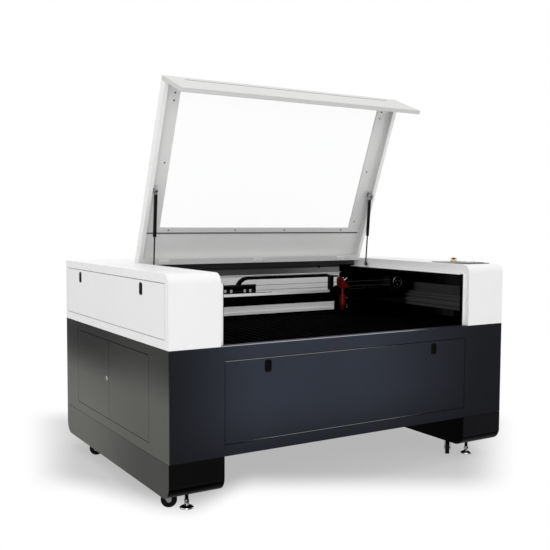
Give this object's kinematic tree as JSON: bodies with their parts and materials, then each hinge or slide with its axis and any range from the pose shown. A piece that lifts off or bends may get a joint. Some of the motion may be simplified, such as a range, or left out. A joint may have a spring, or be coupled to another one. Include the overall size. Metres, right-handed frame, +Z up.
{
  "type": "flatbed laser cutting machine",
  "caption": "Enclosed flatbed laser cutter with a lifting windowed lid on gas struts, a gantry with a moving head, a blade bed, side doors and wheeled pedestals.",
  "frame": {"origin": "centre of the bounding box on the floor", "axes": "+Z up, -Y out of the front, +X to the right as seen from the front"},
  "size_m": [1.902, 1.375, 1.9121],
  "materials": {
    "casing_black": "satin powder coat",
    "casing_white": "satin powder coat",
    "chamber_grey": "satin",
    "frame_steel": "matt",
    "black_plastic": "matt",
    "bright_steel": "ground",
    "chrome": "bright",
    "strut_black": "gloss",
    "black_anodised": "anodised",
    "motor_dark": "satin",
    "belt_rubber": "matt",
    "head_red": "anodised",
    "tube_glass": "clear",
    "window_clear": "clear",
    "electrics_metal": "plain",
    "stop_red": "gloss",
    "fork_zinc": "zinc plated"
  },
  "bodies": {
    "body": {"base_frame": "frame_steel", "front_panel": "casing_black", "left_panel": "casing_black", "right_panel": "casing_black", "rear_panel": "casing_black", "skirts": "casing_black", "belly_pan": "frame_steel", "left_housing": "casing_white", "right_housing": "casing_white", "rear_housing": "casing_white", "chamber_wall": "chamber_grey", "hinge_pins": "bright_steel", "body_hinge_leaves": "bright_steel", "blade_bed": "frame_steel", "y_rails": "black_anodised", "y_belts": "belt_rubber", "laser_tube": "tube_glass", "tube_supports": "black_anodised", "electrics": "electrics_metal", "control_panel": "black_plastic"},
    "lid": {"lid_shell": "casing_white", "lid_window": "window_clear", "window_frame": "casing_white", "lid_fittings": "bright_steel"},
    "left_rod": {"left_strut_rod": "bright_steel"},
    "left_tube": {"left_strut_tube": "strut_black"},
    "right_rod": {"right_strut_rod": "bright_steel"},
    "right_tube": {"right_strut_tube": "strut_black"},
    "front_door": {"front_door": "casing_black"},
    "front_leaf": {"left_door_front": "casing_black"},
    "rear_leaf": {"left_door_rear": "casing_black"},
    "hatch": {"left_hatch": "casing_white"},
    "latch_fl": {"front_latch_left": "black_plastic"},
    "latch_fr": {"front_latch_right": "black_plastic"},
    "latch_hf": {"hatch_latch_front": "black_plastic"},
    "latch_hr": {"hatch_latch_rear": "black_plastic"},
    "lock": {"door_lock": "chrome"},
    "gantry": {"gantry_beam": "black_anodised", "gantry_carriages": "black_anodised", "x_rail": "bright_steel", "x_belt": "belt_rubber", "x_motor": "motor_dark", "drag_chain": "black_plastic"},
    "head": {"head_carriage": "black_anodised", "head_mirror": "head_red"},
    "lens": {"lens_tube": "head_red"},
    "y_shaft": {"y_drive_shaft": "bright_steel"},
    "stop": {"stop_button": "stop_red"},
    "caster_lf": {"caster_fork_lf": "fork_zinc"},
    "wheel_lf": {"wheel_lf": "belt_rubber"},
    "caster_rf": {"caster_fork_rf": "fork_zinc"},
    "wheel_rf": {"wheel_rf": "belt_rubber"},
    "caster_lr": {"caster_fork_lr": "fork_zinc"},
    "wheel_lr": {"wheel_lr": "belt_rubber"},
    "caster_rr": {"caster_fork_rr": "fork_zinc"},
    "wheel_rr": {"wheel_rr": "belt_rubber"},
    "foot_lf": {"foot_lf": "chrome"},
    "foot_rf": {"foot_rf": "chrome"},
    "foot_lr": {"foot_lr": "chrome"},
    "foot_rr": {"foot_rr": "chrome"}
  },
  "joints": [
    {"name": "lid_hinge", "type": "hinge", "parent": "body", "child": "lid", "pos_m": [0, 0.2675, 1.002], "axis": [1, 0, 0], "range_deg": [0, 68.5]},
    {"name": "left_strut_swing", "type": "hinge", "parent": "body", "child": "left_rod", "pos_m": [-0.67, 0.1125, 0.978], "axis": [1, 0, 0], "range_deg": [0, 88.7]},
    {"name": "left_strut_slide", "type": "slide", "parent": "left_rod", "child": "left_tube", "axis": [0, -0.0802, 0.9968], "range_m": [-0.1375, 0]},
    {"name": "right_strut_swing", "type": "hinge", "parent": "body", "child": "right_rod", "pos_m": [0.67, 0.1125, 0.978], "axis": [1, 0, 0], "range_deg": [0, 88.7]},
    {"name": "right_strut_slide", "type": "slide", "parent": "right_rod", "child": "right_tube", "axis": [0, -0.0802, 0.9968], "range_m": [-0.1375, 0]},
    {"name": "front_door_hinge", "type": "hinge", "parent": "body", "child": "front_door", "pos_m": [0, -0.6805, 0.29], "axis": [1, 0, 0], "range_deg": [0, 90]},
    {"name": "front_leaf_hinge", "type": "hinge", "parent": "body", "child": "front_leaf", "pos_m": [-0.943, -0.4725, 0.4665], "axis": [0, 0, 1], "range_deg": [0, 100]},
    {"name": "rear_leaf_hinge", "type": "hinge", "parent": "body", "child": "rear_leaf", "pos_m": [-0.943, 0.4495, 0.4665], "axis": [0, 0, 1], "range_deg": [-100, 0]},
    {"name": "hatch_hinge", "type": "hinge", "parent": "body", "child": "hatch", "pos_m": [-0.943, -0.018, 0.75], "axis": [0, 1, 0], "range_deg": [-90, 0]},
    {"name": "latch_fl_press", "type": "hinge", "parent": "front_door", "child": "latch_fl", "pos_m": [-0.479, -0.6825, 0.617], "axis": [1, 0, 0], "range_deg": [0, 20], "stiffness_Nm_per_rad": 0.5},
    {"name": "latch_fr_press", "type": "hinge", "parent": "front_door", "child": "latch_fr", "pos_m": [0.479, -0.6825, 0.617], "axis": [1, 0, 0], "range_deg": [0, 20], "stiffness_Nm_per_rad": 0.5},
    {"name": "latch_hf_press", "type": "hinge", "parent": "hatch", "child": "latch_hf", "pos_m": [-0.945, -0.4015, 0.95], "axis": [0, -1, 0], "range_deg": [0, 20], "stiffness_Nm_per_rad": 0.5},
    {"name": "latch_hr_press", "type": "hinge", "parent": "hatch", "child": "latch_hr", "pos_m": [-0.945, 0.4085, 0.95], "axis": [0, -1, 0], "range_deg": [0, 20], "stiffness_Nm_per_rad": 0.5},
    {"name": "lock_turn", "type": "hinge", "parent": "rear_leaf", "child": "lock", "pos_m": [-0.95, 0.0365, 0.4645], "axis": [1, 0, 0], "range_deg": [0, 90]},
    {"name": "gantry_slide", "type": "slide", "parent": "body", "child": "gantry", "axis": [0, 1, 0], "range_m": [-0.44, 0.3]},
    {"name": "head_slide", "type": "slide", "parent": "gantry", "child": "head", "axis": [1, 0, 0], "range_m": [-0.83, 0.28], "deforming": ["drag_chain"]},
    {"name": "lens_slide", "type": "slide", "parent": "head", "child": "lens", "axis": [0, 0, 1], "range_m": [-0.012, 0.008]},
    {"name": "y_shaft_turn", "type": "hinge", "parent": "body", "child": "y_shaft", "pos_m": [0, 0.3125, 0.8], "axis": [1, 0, 0], "range_deg": [-1760, 1200]},
    {"name": "stop_press", "type": "slide", "parent": "body", "child": "stop", "axis": [0, 0, -1], "range_m": [0, 0.004], "stiffness_N_per_m": 400},
    {"name": "caster_lf_swivel", "type": "hinge", "parent": "body", "child": "caster_lf", "pos_m": [-0.902, -0.5225, 0.076], "axis": [0, 0, 1], "continuous": true},
    {"name": "wheel_lf_spin", "type": "hinge", "parent": "caster_lf", "child": "wheel_lf", "pos_m": [-0.88008, -0.53226, 0.035], "axis": [-0.4067, -0.9135, 0], "continuous": true},
    {"name": "caster_rf_swivel", "type": "hinge", "parent": "body", "child": "caster_rf", "pos_m": [0.74, -0.5225, 0.076], "axis": [0, 0, 1], "continuous": true},
    {"name": "wheel_rf_spin", "type": "hinge", "parent": "caster_rf", "child": "wheel_rf", "pos_m": [0.72333, -0.53976, 0.035], "axis": [-0.7193, 0.6947, 0], "continuous": true},
    {"name": "caster_lr_swivel", "type": "hinge", "parent": "body", "child": "caster_lr", "pos_m": [-0.902, 0.3975, 0.076], "axis": [0, 0, 1], "continuous": true},
    {"name": "wheel_lr_spin", "type": "hinge", "parent": "caster_lr", "child": "wheel_lr", "pos_m": [-0.88008, 0.38774, 0.035], "axis": [-0.4067, -0.9135, 0], "continuous": true},
    {"name": "caster_rr_swivel", "type": "hinge", "parent": "body", "child": "caster_rr", "pos_m": [0.74, 0.3975, 0.076], "axis": [0, 0, 1], "continuous": true},
    {"name": "wheel_rr_spin", "type": "hinge", "parent": "caster_rr", "child": "wheel_rr", "pos_m": [0.71808, 0.40726, 0.035], "axis": [0.4067, 0.9135, 0], "continuous": true},
    {"name": "foot_lf_screw", "type": "slide", "parent": "body", "child": "foot_lf", "axis": [0, 0, 1], "range_m": [-0.03, 0]},
    {"name": "foot_rf_screw", "type": "slide", "parent": "body", "child": "foot_rf", "axis": [0, 0, 1], "range_m": [-0.03, 0]},
    {"name": "foot_lr_screw", "type": "slide", "parent": "body", "child": "foot_lr", "axis": [0, 0, 1], "range_m": [-0.03, 0]},
    {"name": "foot_rr_screw", "type": "slide", "parent": "body", "child": "foot_rr", "axis": [0, 0, 1], "range_m": [-0.03, 0]}
  ],
  "couplings": [
    {"joint": "left_strut_swing", "follows": "lid_hinge", "ratio": 1.2921},
    {"joint": "left_strut_slide", "follows": "lid_hinge", "m_per_rad": -0.11478},
    {"joint": "right_strut_swing", "follows": "lid_hinge", "ratio": 1.2921},
    {"joint": "right_strut_slide", "follows": "lid_hinge", "m_per_rad": -0.11478},
    {"joint": "y_shaft_turn", "follows": "gantry_slide", "rad_per_m": 66.667}
  ]
}
